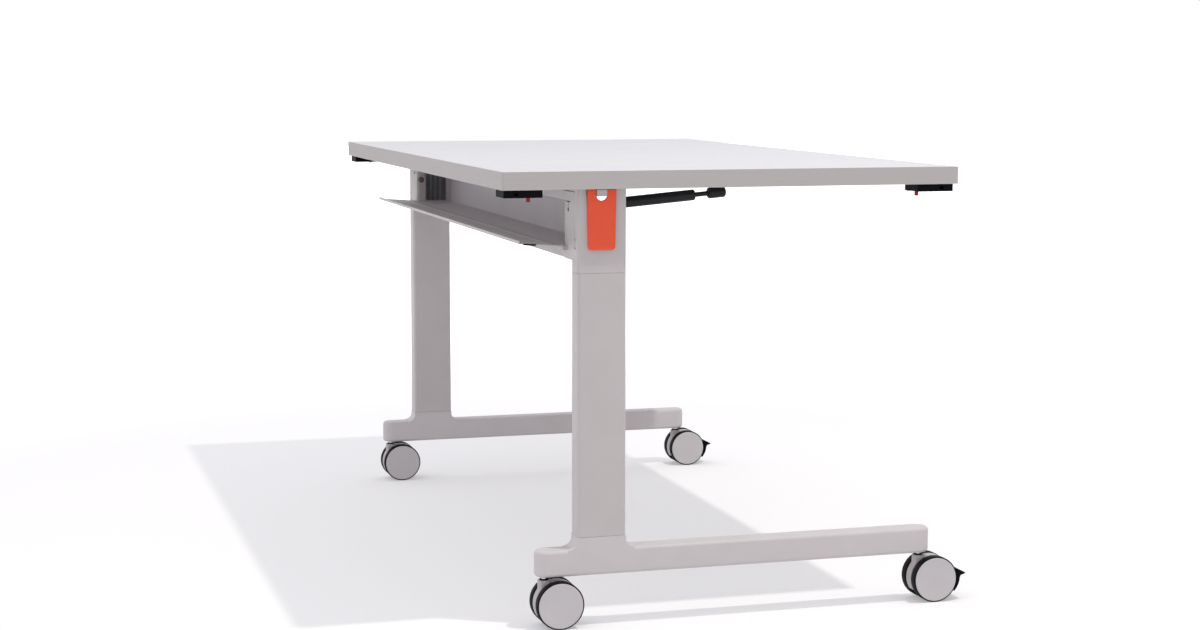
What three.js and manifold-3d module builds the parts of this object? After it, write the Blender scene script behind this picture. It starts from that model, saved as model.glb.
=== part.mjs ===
// Flip top training table: a white board that tilts up on a two-leg frame with casters.
// Millimetres, +X along the table, -Y towards the user, +Z up, floor at Z = 0.
import * as THREE from 'three';
import { mergeVertices } from 'three/addons/utils/BufferGeometryUtils.js';
import Module from 'manifold-3d';

const wasm = await Module();
wasm.setup();

// Driving dimensions: board
const TOP_LENGTH = 1372;
const TOP_DEPTH = 762;
const TOP_HEIGHT = 725;
const TOP_THICKNESS = 28;
const TOP_CORNER = 3;
const EDGE_BAND = 2;
const GAP = 0.3;
const OVERCUT = 1;

// Driving dimensions: legs, measured as distances from the middle of the table
const LEG_OUTER = 661;
const COLUMN_X = 38;
const COLUMN_Y = 80;
const COLUMN_MIDDLE_Y = 214;
const COLUMN_CORNER = 6;
const COLUMN_WALL = 2.5;
const FOOT_TOP = 126;
const FOOT_BOTTOM = 83;
const FOOT_BACK = 320;
const FOOT_FRONT = -357.5;
const FOOT_EDGE = 6;
const COLLAR_TOP = 145;
const COLLAR_FILLET = 14;

// Driving dimensions: leg heads
const HEAD_SEAM = 564;
const HEAD_UNDERSIDE = 583;
const HEAD_INNER = 580;
const HEAD_FLOOR = 592;
const HEAD_SIDE_TOP = 696;
const HEAD_FRONT_TOP = 686;
const HEAD_BACK_TOP = 673;
const HEAD_LEDGE_TOP = 690.5;
const HEAD_WALL = 6;
const HEAD_FILLET = 9;
const PAD_INNER = 625;
const PAD_OUTER = 649;
const SLIT_X = 606;
const SLIT_BOTTOM = 661;
const SLIT_DEPTH = 2;
const SLIT_HOLE_RADIUS = 3;
const NECK_OVERLAP = 4;
const FILLET_STEPS = 4;
const PAD_FRONT_INSET = 2.2;
const PAD_BACK_INSET = 0.2;
const GATE_FRONT_INSET = 11;
const GATE_BACK_INSET = 2;
const GATE_SILL = 4;

// Driving dimensions: flip hinge, with its axis along X
const FLIP_Y = 244;
const FLIP_Z = 608;
const FLIP_PIN_RADIUS = 5;
const ARM_INNER = 641;
const ARM_OUTER = 647;
const ARM_HUB = 9.9;
const ARM_FRONT_Y = 227;
const ARM_BACK_Y = 253.9;
const ARM_PLAY = 0.4;
const HUB_ROOM = 12;
const FLANGE_FRONT_Y = 176;
const FLANGE_THICKNESS = 5;
const LATCH_Y = 238;
const LATCH_Z = 642;
const CATCH_RADIUS = 4;
const FLANGE_INNER = 600;
const PIN_SKIN = 2.5;
const LEAF_THICKNESS = 1.2;
const LEAF_SPREAD = 4;
const LEAF_TOP_DROP = 4;
const LEAF_BOTTOM_RISE = 14;
const LEAF_FRONT = 10;
const LEAF_BACK = 6;
const NIB_RADIUS = 3;
const NIB_SETBACK = 2;
const NIB_SEAT = 2.4;

// Driving dimensions: beam, trough and door
const BEAM_FRONT = 184;
const BEAM_BACK = 252;
const BEAM_TOP = 600;
const BEAM_WALL = 2.5;
const SHEET = 1.6;
const TROUGH_FRONT = 180.5;
const TROUGH_BACK = 254.4;
const PANEL_TOP = 662;
const RAIL_HALF_LENGTH = 617;
const RAIL_FRONT = 238;
const RAIL_BOTTOM = 674;
const RAIL_TOP = 690;
const DOOR_HALF_LENGTH = 596;
const DOOR_AXIS_Y = 258.5;
const DOOR_AXIS_Z = 600;
const DOOR_REACH = 74;
const DOOR_OPEN_ANGLE = 4;
const DOOR_CURL = 3.6;
const DOOR_LIP = 3.4;
const DOOR_ROD_RADIUS = 1.8;
const LUG_OUTER = 602;
const LUG_WEB_HALF = 3;
const PANEL_RETURN = 10;

// Driving dimensions: release paddle
const PADDLE_MIDDLE_Y = 216;
const PADDLE_TOP_WIDTH = 47;
const PADDLE_BOTTOM_WIDTH = 43.4;
const PADDLE_TOP = 695;
const PADDLE_BOTTOM = 601;
const PADDLE_THICKNESS = 5;
const PADDLE_AXIS_Z = 691.5;
const PADDLE_NOTCH_WIDTH = 18.5;
const PADDLE_NOTCH_DEPTH = 17;
const PADDLE_PIN_RADIUS = 1.5;
const PADDLE_RECESS = 3.6;
const PADDLE_CORNER = 6;
const LUG_DROP = 6.9;
const LUG_RISE = 3.5;
const LUG_REACH = 3;
const LUG_PLAY = 0.8;
const WINDOW_MARGIN = 4;
const FINGER_FRONT = 9;
const FINGER_BACK = 3;
const FINGER_RISE = 9;
const FINGER_HEIGHT = 4;
const FINGER_LIP = 1.2;
const FINGER_LIP_HEIGHT = 10;
const FINGER_ROOM_Y = 2;
const FINGER_ROOM_LOW = 5;
const FINGER_ROOM_HIGH = 26;
const FINGER_INNER = 647.8;

// Driving dimensions: gas spring, one, on the left leg
const SPRING_X = 606;
const SPRING_BASE_Y = 188;
const SPRING_BASE_Z = 668.7;
const SPRING_TIP_Y = 0.6;
const SPRING_TIP_Z = 685;
const CYLINDER_RADIUS = 8.9;
const ROD_RADIUS = 3;
const ROD_SHOWN = 23;
const ROD_INSIDE = 80;
const EYE_RADIUS = 7;
const EYE_HALF_WIDTH = 7;
const SOCKET_RADIUS = 8.8;
const SOCKET_LENGTH = 29;
const SOCKET_PAST_PIN = 8;
const SPRING_PIN_RADIUS = 3;
const SPRING_ROOM_HALF = 10;
const SPRING_ROOM_DROP = 16;
const ROD_PLAY = 0.4;
const ROD_SPARE = 6;
const CYLINDER_START = 4;
const CHEEK_GAP = 0.5;
const CHEEK_THICKNESS = 4;
const CHEEK_HALF_WIDTH = 8;
const CHEEK_DROP = 6;
const BRACKET_WIDTH = 24;
const BRACKET_HALF_LENGTH = 16;
const BRACKET_THICKNESS = 3.2;
const STUD_RADIUS = 4;

// Driving dimensions: linking blocks
const LINK_LENGTH = 62;
const LINK_INSET_Y = 5;
const LINK_INNER = 625;
const LINK_OUTER = 676;
const LINK_HEIGHT = 12.2;
const TONGUE_TIP = 660;
const TONGUE_HALF_WIDTH = 3;
const KNOB_X = 640;
const KNOB_DROP = 8.4;
const TONGUE_FROM_EDGE = 24.7;
const KNOB_FROM_EDGE = 53;
const KNOB_RADIUS = 3.3;
const LINK_TRAVEL = 30;
const LINK_PLAY = 0.4;
const BAR_LOW = 3.8;
const BAR_HIGH = 7.8;

// Driving dimensions: casters
const STEM_BACK = 304;
const STEM_FRONT = -342;
const STEM_RADIUS = 5.5;
const CASTER_TRAIL = 21;
const WHEEL_RADIUS = 38.5;
const WHEEL_INNER = 9.3;
const WHEEL_OUTER = 27;
const HOOD_HALF_WIDTH = 8.7;
const HOOD_RADIUS = 37.5;
const CROWN_BOTTOM = 72.5;
const HOOD_BACK_ANGLE = -32;
const HOOD_FRONT_ANGLE = 150;
const HOOD_FRONT_ANGLE_BRAKE = 136;
const AXLE_RADIUS = 4;
const LEVER_REACH = 55;
const LEVER_HALF_WIDTH = 24;
const LEVER_CLEAR_RADIUS = 41;
const LEVER_KNEE = [21.5, 17];
const KNUCKLE_RADIUS = 3.4;
const WHEEL_SIDES = 28;
const BOSS_DROP = 6;
const BOSS_WALL = 5;
const BOSS_RISE = 12;
const CROWN_WALL = 4;
const STEM_DEPTH = 22;
const SOCKET_DEPTH = 30;
const COVER_THICKNESS = 4;

// Values worked out from the driving dimensions
const UNDERSIDE = TOP_HEIGHT - TOP_THICKNESS;
const COLUMN_MIDDLE_X = LEG_OUTER - COLUMN_X / 2;
const COLUMN_BACK = COLUMN_MIDDLE_Y + COLUMN_Y / 2;
const COLUMN_FRONT = COLUMN_MIDDLE_Y - COLUMN_Y / 2;
const PADDLE_INNER = LEG_OUTER + 0.4;
const PADDLE_AXIS_X = PADDLE_INNER + PADDLE_THICKNESS / 2;
const FRONT_REACH = STEM_FRONT - CASTER_TRAIL - LEVER_REACH;
const CENTRE_SHIFT_Y = -(FRONT_REACH + TOP_DEPTH / 2) / 2;

const colours = {
  laminate: { color: 0xe9e8ec, roughness: 0.45, metalness: 0 },
  edging: { color: 0xb8b4b2, roughness: 0.5, metalness: 0 },
  paint: { color: 0xc9c4c1, roughness: 0.5, metalness: 0.1 },
  black: { color: 0x303034, roughness: 0.55, metalness: 0 },
  rubber: { color: 0x1d1d20, roughness: 0.8, metalness: 0 },
  orange: { color: 0xdd583c, roughness: 0.45, metalness: 0 },
  red: { color: 0x8a1a18, roughness: 0.45, metalness: 0 },
  steel: { color: 0xb5b6ba, roughness: 0.3, metalness: 0.9 },
  plastic: { color: 0xc4c1bf, roughness: 0.5, metalness: 0 },
};

const table = new THREE.Group();
table.position.y = CENTRE_SHIFT_Y;

// Solid helpers
function solid(geometry) {
  const bare = geometry.index ? geometry.toNonIndexed() : geometry;
  bare.deleteAttribute('normal');
  bare.deleteAttribute('uv');
  const merged = mergeVertices(bare, 1e-4);
  const mesh = new wasm.Mesh({
    numProp: 3,
    vertProperties: new Float32Array(merged.attributes.position.array),
    triVerts: new Uint32Array(merged.index.array),
  });
  return new wasm.Manifold(mesh);
}

function geometryOf(body) {
  const mesh = body.getMesh();
  const geometry = new THREE.BufferGeometry();
  geometry.setAttribute('position', new THREE.BufferAttribute(mesh.vertProperties, 3));
  geometry.setIndex(new THREE.BufferAttribute(mesh.triVerts, 1));
  return geometry;
}

function addPiece(name, body, colour) {
  const mesh = new THREE.Mesh(geometryOf(body), new THREE.MeshStandardMaterial(colours[colour]));
  mesh.name = name;
  table.add(mesh);
}

function joined(first, ...others) {
  return others.reduce((whole, other) => whole.add(other), first);
}

function cut(first, ...tools) {
  return tools.reduce((whole, tool) => whole.subtract(tool), first);
}

// A box between two corners, each given as a range along one axis
function box([x0, x1], [y0, y1], [z0, z1]) {
  const geometry = new THREE.BoxGeometry(Math.abs(x1 - x0), Math.abs(y1 - y0), Math.abs(z1 - z0));
  geometry.translate((x0 + x1) / 2, (y0 + y1) / 2, (z0 + z1) / 2);
  return solid(geometry);
}

function rodAlongX(radius, [x0, x1], y, z, sides = 20) {
  const geometry = new THREE.CylinderGeometry(radius, radius, Math.abs(x1 - x0), sides);
  geometry.rotateZ(Math.PI / 2);
  geometry.translate((x0 + x1) / 2, y, z);
  return solid(geometry);
}

function rodAlongY(radius, x, [y0, y1], z, sides = 16) {
  const geometry = new THREE.CylinderGeometry(radius, radius, Math.abs(y1 - y0), sides);
  geometry.translate(x, (y0 + y1) / 2, z);
  return solid(geometry);
}

function rodAlongZ(radius, x, y, [z0, z1], sides = 24) {
  const geometry = new THREE.CylinderGeometry(radius, radius, Math.abs(z1 - z0), sides);
  geometry.rotateX(Math.PI / 2);
  geometry.translate(x, y, (z0 + z1) / 2);
  return solid(geometry);
}

function roundedRectangle(width, height, radius, path = new THREE.Shape()) {
  const [w, h] = [width / 2, height / 2];
  path.moveTo(-w + radius, -h);
  path.lineTo(w - radius, -h);
  path.absarc(w - radius, -h + radius, radius, -Math.PI / 2, 0);
  path.lineTo(w, h - radius);
  path.absarc(w - radius, h - radius, radius, 0, Math.PI / 2);
  path.lineTo(-w + radius, h);
  path.absarc(-w + radius, h - radius, radius, Math.PI / 2, Math.PI);
  path.lineTo(-w, -h + radius);
  path.absarc(-w + radius, -h + radius, radius, Math.PI, Math.PI * 1.5);
  return path;
}

function outline(points) {
  return new THREE.Shape(points.map(([a, b]) => new THREE.Vector2(a, b)));
}

// A plan outline in X and Y, raised along Z
function raised(shape, x, y, [z0, z1], curveSegments = 4) {
  const geometry = new THREE.ExtrudeGeometry(shape, { depth: z1 - z0, bevelEnabled: false, curveSegments });
  geometry.translate(x, y, z0);
  return solid(geometry);
}

// A side outline in Y and Z, run along X
function alongX(shape, [x0, x1], curveSegments = 6) {
  const settings = { depth: Math.abs(x1 - x0), bevelEnabled: false, curveSegments };
  const geometry = new THREE.ExtrudeGeometry(shape, settings);
  const toSide = new THREE.Matrix4();
  toSide.makeBasis(new THREE.Vector3(0, 1, 0), new THREE.Vector3(0, 0, 1), new THREE.Vector3(1, 0, 0));
  geometry.applyMatrix4(toSide);
  geometry.translate(Math.min(x0, x1), 0, 0);
  return solid(geometry);
}

// An end outline in X and Z, run along Y
function alongY(shape, [y0, y1], curveSegments = 6) {
  const settings = { depth: Math.abs(y1 - y0), bevelEnabled: false, curveSegments };
  const geometry = new THREE.ExtrudeGeometry(shape, settings);
  geometry.rotateX(Math.PI / 2);
  geometry.translate(0, Math.max(y0, y1), 0);
  return solid(geometry);
}

// A range of distances from the middle, on the side given by its sign
function span(side, near, far) {
  return [side * near, side * far];
}

// Board and edge band
function makeBoard() {
  const inset = 2 * (EDGE_BAND + GAP);
  const innerCorner = TOP_CORNER - EDGE_BAND;
  const board = roundedRectangle(TOP_LENGTH - inset, TOP_DEPTH - inset, innerCorner);
  addPiece('table_top', raised(board, 0, 0, [UNDERSIDE, TOP_HEIGHT]), 'laminate');
  const band = roundedRectangle(TOP_LENGTH, TOP_DEPTH, TOP_CORNER);
  const [holeLength, holeDepth] = [TOP_LENGTH - 2 * EDGE_BAND, TOP_DEPTH - 2 * EDGE_BAND];
  band.holes.push(roundedRectangle(holeLength, holeDepth, innerCorner, new THREE.Path()));
  addPiece('edge_band', raised(band, 0, 0, [UNDERSIDE, TOP_HEIGHT]), 'edging');
}

// Linking block under one corner: with a red slider, or with a mouth that takes one
function makeLink(place, side, end, hasSlider) {
  const top = UNDERSIDE - GAP;
  const bottom = top - LINK_HEIGHT;
  const play = LINK_PLAY;
  const [barLow, barHigh] = [bottom + BAR_LOW, bottom + BAR_HIGH];
  const outerY = end * (TOP_DEPTH / 2 - LINK_INSET_Y);
  const lengthwise = [outerY, outerY - end * LINK_LENGTH].sort((a, b) => a - b);
  const body = box(span(side, LINK_INNER, LINK_OUTER), lengthwise, [bottom, top]);
  const tongueY = end * (TOP_DEPTH / 2 - TONGUE_FROM_EDGE);
  const knobY = end * (TOP_DEPTH / 2 - KNOB_FROM_EDGE);
  const [yokeInner, yokeOuter] = [KNOB_X - KNOB_RADIUS, KNOB_X + KNOB_RADIUS];
  const bar = (x, y, halfWidth, slack) => box(
    x,
    [y - halfWidth - slack, y + halfWidth + slack],
    [barLow - slack, barHigh + slack],
  );
  const mouth = bar(span(side, yokeOuter, LINK_OUTER + OVERCUT), tongueY, TONGUE_HALF_WIDTH, play);
  if (!hasSlider) {
    addPiece(`link_block_${place}`, cut(body, mouth), 'black');
    return;
  }
  const yokeMiddle = (tongueY + knobY + end * (TONGUE_HALF_WIDTH - KNOB_RADIUS)) / 2;
  const yokeHalf = Math.abs(tongueY - knobY) / 2 + (TONGUE_HALF_WIDTH + KNOB_RADIUS) / 2;
  const yoke = bar(span(side, yokeInner, yokeOuter), yokeMiddle, yokeHalf, 0);
  const tongue = bar(span(side, yokeInner, TONGUE_TIP), tongueY, TONGUE_HALF_WIDTH, 0);
  const knob = rodAlongZ(KNOB_RADIUS, side * KNOB_X, knobY, [bottom - KNOB_DROP, barHigh], 16);
  const roomEnds = span(side, yokeInner - play, yokeOuter + LINK_TRAVEL + play);
  const room = bar(roomEnds, yokeMiddle, yokeHalf, play);
  const slotHalf = KNOB_RADIUS + play;
  const slot = box(roomEnds, [knobY - slotHalf, knobY + slotHalf], [bottom - OVERCUT, barHigh]);
  addPiece(`link_block_${place}`, cut(body, room, mouth, slot), 'black');
  addPiece(`link_slider_${place}`, joined(yoke, tongue, knob), 'red');
}

// Hinge arm under the board: an upright plate with a pin hub, and a flange
function makeHingeArm(place, side) {
  const thickness = span(side, ARM_INNER, ARM_OUTER);
  const through = span(side, ARM_INNER - OVERCUT, ARM_OUTER + OVERCUT);
  const plate = alongX(outline([
    [ARM_FRONT_Y, UNDERSIDE - GAP],
    [ARM_BACK_Y, UNDERSIDE - GAP],
    [ARM_BACK_Y, FLIP_Z],
    [FLIP_Y - ARM_HUB, FLIP_Z],
  ]), thickness);
  const wallBehind = box(
    through,
    [FLIP_Y, ARM_BACK_Y + OVERCUT],
    [FLIP_Z - OVERCUT, FLIP_Z + COLUMN_BACK - FLIP_Y + ARM_PLAY],
  );
  const relief = cut(wallBehind, rodAlongX(HUB_ROOM - ARM_PLAY, through, FLIP_Y, FLIP_Z, 32));
  const hub = rodAlongX(ARM_HUB, thickness, FLIP_Y, FLIP_Z, 32);
  const flange = box(
    span(side, FLANGE_INNER, ARM_OUTER),
    [FLANGE_FRONT_Y, ARM_BACK_Y],
    [UNDERSIDE - GAP - FLANGE_THICKNESS, UNDERSIDE - GAP],
  );
  const bore = rodAlongX(FLIP_PIN_RADIUS + GAP, through, FLIP_Y, FLIP_Z, 24);
  const catchHole = rodAlongX(CATCH_RADIUS, through, LATCH_Y, LATCH_Z, 16);
  addPiece(`hinge_arm_${place}`, cut(joined(cut(plate, relief), hub, flange), bore, catchHole), 'paint');
  const pinEnds = span(side, HEAD_INNER + PIN_SKIN + GAP, LEG_OUTER - PIN_SKIN - GAP);
  addPiece(`hinge_pin_${place}`, rodAlongX(FLIP_PIN_RADIUS, pinEnds, FLIP_Y, FLIP_Z, 24), 'steel');
}

// Cast head: an open box on a neck, with windows for the moving parts
function makeHead(place, side, hasSpring) {
  const over = HEAD_SIDE_TOP + OVERCUT;
  const behind = COLUMN_BACK + OVERCUT;
  const beyondOuter = LEG_OUTER + OVERCUT;
  const beyondInner = HEAD_INNER - OVERCUT;
  const [frontInside, backInside] = [COLUMN_FRONT + HEAD_WALL, COLUMN_BACK - HEAD_WALL];
  const insideX = span(side, HEAD_INNER + HEAD_WALL, LEG_OUTER - HEAD_WALL);
  const innerWallX = span(side, beyondInner, HEAD_INNER + HEAD_WALL + OVERCUT);
  const outerWallX = span(side, LEG_OUTER - HEAD_WALL - OVERCUT, beyondOuter);
  const toOuterWallX = span(side, beyondInner, LEG_OUTER - HEAD_WALL);
  const pinX = span(side, HEAD_INNER + PIN_SKIN, LEG_OUTER - PIN_SKIN);
  const slitX = span(side, SLIT_X - SLIT_DEPTH, SLIT_X + SLIT_DEPTH);
  const doorRodX = span(side, DOOR_HALF_LENGTH, LUG_OUTER + OVERCUT);
  const backWallY = [COLUMN_BACK - HEAD_WALL - OVERCUT, behind];
  const frontWallY = [COLUMN_FRONT - OVERCUT, COLUMN_FRONT + HEAD_WALL + OVERCUT];
  const armX = span(side, ARM_INNER - ARM_PLAY, ARM_OUTER + ARM_PLAY);
  const toRailEndX = span(side, beyondInner, RAIL_HALF_LENGTH + 2 * GAP);
  const ledgeX = span(side, RAIL_HALF_LENGTH, ARM_OUTER + ARM_PLAY);
  const paddleHalf = PADDLE_TOP_WIDTH / 2 + 2 * GAP;
  const paddleY = [PADDLE_MIDDLE_Y - paddleHalf, PADDLE_MIDDLE_Y + paddleHalf];
  const windowHalf = PADDLE_NOTCH_WIDTH / 2 + WINDOW_MARGIN;
  const windowY = [PADDLE_MIDDLE_Y - windowHalf, PADDLE_MIDDLE_Y + windowHalf];
  const bridgeLow = PADDLE_AXIS_Z - LUG_DROP;
  const bridgeOuter = LEG_OUTER - PADDLE_RECESS;
  const lugHalf = PADDLE_NOTCH_WIDTH / 2 - LUG_PLAY;
  const gateY = [TROUGH_FRONT + GATE_FRONT_INSET, RAIL_FRONT - GATE_BACK_INSET];
  const fingerRoomY = [LATCH_Y - FINGER_FRONT - FINGER_ROOM_Y, LATCH_Y - FINGER_BACK + FINGER_ROOM_Y];
  const fingerRoomZ = [PADDLE_BOTTOM + FINGER_ROOM_LOW, PADDLE_BOTTOM + FINGER_ROOM_HIGH];
  const springRoomX = span(side, SPRING_X - SPRING_ROOM_HALF, SPRING_X + SPRING_ROOM_HALF);
  const tools = [
    box(insideX, [frontInside, backInside], [HEAD_FLOOR, over]),
    box(innerWallX, [frontInside, behind], [HEAD_BACK_TOP, over]),
    box(toRailEndX, backWallY, [HEAD_BACK_TOP, over]),
    box(ledgeX, backWallY, [HEAD_LEDGE_TOP, over]),
    box(toOuterWallX, frontWallY, [HEAD_FRONT_TOP, over]),
    box(armX, backWallY, [FLIP_Z, over]),
    rodAlongX(HUB_ROOM, armX, FLIP_Y, FLIP_Z, 32),
    box(innerWallX, gateY, [BEAM_TOP + GATE_SILL, over]),
    rodAlongX(FLIP_PIN_RADIUS + GAP, pinX, FLIP_Y, FLIP_Z, 24),
    box(slitX, [COLUMN_BACK - SLIT_DEPTH, behind], [SLIT_BOTTOM, over]),
    rodAlongY(SLIT_HOLE_RADIUS, side * SLIT_X, backWallY, SLIT_BOTTOM),
    box(span(side, bridgeOuter, beyondOuter), paddleY, [bridgeLow, over]),
    box(outerWallX, windowY, [HEAD_BACK_TOP - OVERCUT, bridgeLow]),
    box(outerWallX, fingerRoomY, fingerRoomZ),
    rodAlongX(DOOR_ROD_RADIUS + GAP, doorRodX, DOOR_AXIS_Y, DOOR_AXIS_Z, 12),
  ];
  if (hasSpring) {
    tools.push(box(springRoomX, frontWallY, [SPRING_BASE_Z - SPRING_ROOM_DROP, over]));
  }
  const pinLug = box(
    span(side, bridgeOuter - OVERCUT, PADDLE_AXIS_X + LUG_REACH),
    [PADDLE_MIDDLE_Y - lugHalf, PADDLE_MIDDLE_Y + lugHalf],
    [bridgeLow, PADDLE_AXIS_Z + LUG_RISE],
  );
  const pinBore = rodAlongY(PADDLE_PIN_RADIUS + GAP, side * PADDLE_AXIS_X, paddleY, PADDLE_AXIS_Z, 12);
  addPiece(`leg_head_${place}`, cut(joined(cut(headBlank(side), ...tools), pinLug), pinBore), 'paint');
}

// The head before its openings are cut: block, neck, corner fillet and door rod lug
function headBlank(side) {
  const neckInner = LEG_OUTER - COLUMN_X;
  const blockPlan = roundedRectangle(LEG_OUTER - HEAD_INNER, COLUMN_Y, COLUMN_CORNER);
  const neckPlan = roundedRectangle(COLUMN_X, COLUMN_Y, COLUMN_CORNER);
  const blockX = side * (LEG_OUTER + HEAD_INNER) / 2;
  const block = raised(blockPlan, blockX, COLUMN_MIDDLE_Y, [HEAD_UNDERSIDE, HEAD_SIDE_TOP]);
  const neckZ = [HEAD_SEAM + GAP, HEAD_UNDERSIDE + NECK_OVERLAP];
  const neck = raised(neckPlan, side * COLUMN_MIDDLE_X, COLUMN_MIDDLE_Y, neckZ);
  const corner = new THREE.Shape();
  corner.moveTo(side * (neckInner - HEAD_FILLET), HEAD_UNDERSIDE + OVERCUT);
  for (let step = 0; step <= FILLET_STEPS; step += 1) {
    const angle = (step / FILLET_STEPS) * Math.PI / 2;
    const x = neckInner - HEAD_FILLET + HEAD_FILLET * Math.sin(angle);
    corner.lineTo(side * x, HEAD_UNDERSIDE - HEAD_FILLET + HEAD_FILLET * Math.cos(angle));
  }
  corner.lineTo(side * (neckInner + 2 * OVERCUT), HEAD_UNDERSIDE - HEAD_FILLET);
  corner.lineTo(side * (neckInner + 2 * OVERCUT), HEAD_UNDERSIDE + OVERCUT);
  const fillet = alongY(corner, [COLUMN_FRONT + COLUMN_CORNER, COLUMN_BACK - COLUMN_CORNER]);
  const lugX = span(side, DOOR_HALF_LENGTH + OVERCUT, LUG_OUTER);
  const lugZ = [DOOR_AXIS_Z - LUG_WEB_HALF, DOOR_AXIS_Z + LUG_WEB_HALF];
  const lugEye = rodAlongX(DOOR_CURL, lugX, DOOR_AXIS_Y, DOOR_AXIS_Z, 20);
  const lugWeb = box(lugX, [COLUMN_BACK - 2 * OVERCUT, DOOR_AXIS_Y], lugZ);
  return joined(block, neck, fillet, lugEye, lugWeb);
}

// Rubber pad on the head's front wall that carries the board
function makeStopPad(place, side) {
  const pad = box(
    span(side, PAD_INNER, PAD_OUTER),
    [COLUMN_FRONT + PAD_FRONT_INSET, COLUMN_FRONT + HEAD_WALL - PAD_BACK_INSET],
    [HEAD_FRONT_TOP + GAP, UNDERSIDE - FLANGE_THICKNESS - 2 * GAP],
  );
  addPiece(`stop_pad_${place}`, pad, 'rubber');
}

// Release paddle: a plate with a hinge notch, and a finger that pulls the latch spring
function makePaddle(place, side) {
  const [t, b] = [PADDLE_TOP_WIDTH / 2, PADDLE_BOTTOM_WIDTH / 2];
  const n = PADDLE_NOTCH_WIDTH / 2;
  const notchFloor = PADDLE_TOP - PADDLE_NOTCH_DEPTH;
  const r = PADDLE_CORNER;
  const m = PADDLE_MIDDLE_Y;
  const face = new THREE.Shape();
  face.moveTo(m - b + r, PADDLE_BOTTOM);
  face.lineTo(m + b - r, PADDLE_BOTTOM);
  face.quadraticCurveTo(m + b, PADDLE_BOTTOM, m + b, PADDLE_BOTTOM + r);
  face.lineTo(m + t, PADDLE_TOP);
  face.lineTo(m + n, PADDLE_TOP);
  face.lineTo(m + n, notchFloor + n);
  face.absarc(m, notchFloor + n, n, 0, Math.PI, true);
  face.lineTo(m - n, PADDLE_TOP);
  face.lineTo(m - t, PADDLE_TOP);
  face.lineTo(m - b, PADDLE_BOTTOM + r);
  face.quadraticCurveTo(m - b, PADDLE_BOTTOM, m - b + r, PADDLE_BOTTOM);
  const plate = alongX(face, span(side, PADDLE_INNER, PADDLE_INNER + PADDLE_THICKNESS));
  const fingerY = [LATCH_Y - FINGER_FRONT, LATCH_Y - FINGER_BACK];
  const fingerLow = PADDLE_BOTTOM + FINGER_RISE;
  const fingerZ = [fingerLow, fingerLow + FINGER_HEIGHT];
  const lipX = span(side, FINGER_INNER, FINGER_INNER + FINGER_LIP);
  const finger = box(span(side, FINGER_INNER, PADDLE_INNER + OVERCUT), fingerY, fingerZ);
  const lip = box(lipX, fingerY, [fingerLow, fingerLow + FINGER_LIP_HEIGHT]);
  const range = [m - t - OVERCUT, m + t + OVERCUT];
  const bore = rodAlongY(PADDLE_PIN_RADIUS + GAP, side * PADDLE_AXIS_X, range, PADDLE_AXIS_Z, 12);
  addPiece(`release_paddle_${place}`, cut(joined(plate, finger, lip), bore), 'orange');
  const pinY = [m - t + 2 * OVERCUT, m + t - 2 * OVERCUT];
  const pin = rodAlongY(PADDLE_PIN_RADIUS, side * PADDLE_AXIS_X, pinY, PADDLE_AXIS_Z, 12);
  addPiece(`paddle_pin_${place}`, pin, 'steel');
}

// Latch spring: a leaf inside the head, with a nib in the hinge arm's hole
function makeLatchSpring(place, side) {
  const wallFace = LEG_OUTER - HEAD_WALL - GAP;
  const top = HEAD_BACK_TOP - LEAF_TOP_DROP;
  const bottom = PADDLE_BOTTOM + LEAF_BOTTOM_RISE;
  const leaf = alongY(outline([
    [side * wallFace, top],
    [side * (wallFace - LEAF_THICKNESS), top],
    [side * (wallFace - LEAF_SPREAD - LEAF_THICKNESS), bottom],
    [side * (wallFace - LEAF_SPREAD), bottom],
  ]), [LATCH_Y - LEAF_FRONT, LATCH_Y + LEAF_BACK]);
  const nibX = span(side, ARM_INNER + NIB_SETBACK, wallFace - NIB_SEAT);
  const nib = rodAlongX(NIB_RADIUS, nibX, LATCH_Y, LATCH_Z, 12);
  addPiece(`latch_spring_${place}`, joined(leaf, nib), 'steel');
}

// Rectangular column tube
function makeColumn(place, side) {
  const plan = roundedRectangle(COLUMN_X, COLUMN_Y, COLUMN_CORNER);
  const [holeX, holeY] = [COLUMN_X - 2 * COLUMN_WALL, COLUMN_Y - 2 * COLUMN_WALL];
  plan.holes.push(roundedRectangle(holeX, holeY, COLUMN_CORNER - COLUMN_WALL, new THREE.Path()));
  const tube = raised(plan, side * COLUMN_MIDDLE_X, COLUMN_MIDDLE_Y, [COLLAR_TOP + GAP, HEAD_SEAM]);
  addPiece(`column_${place}`, tube, 'paint');
}

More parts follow.
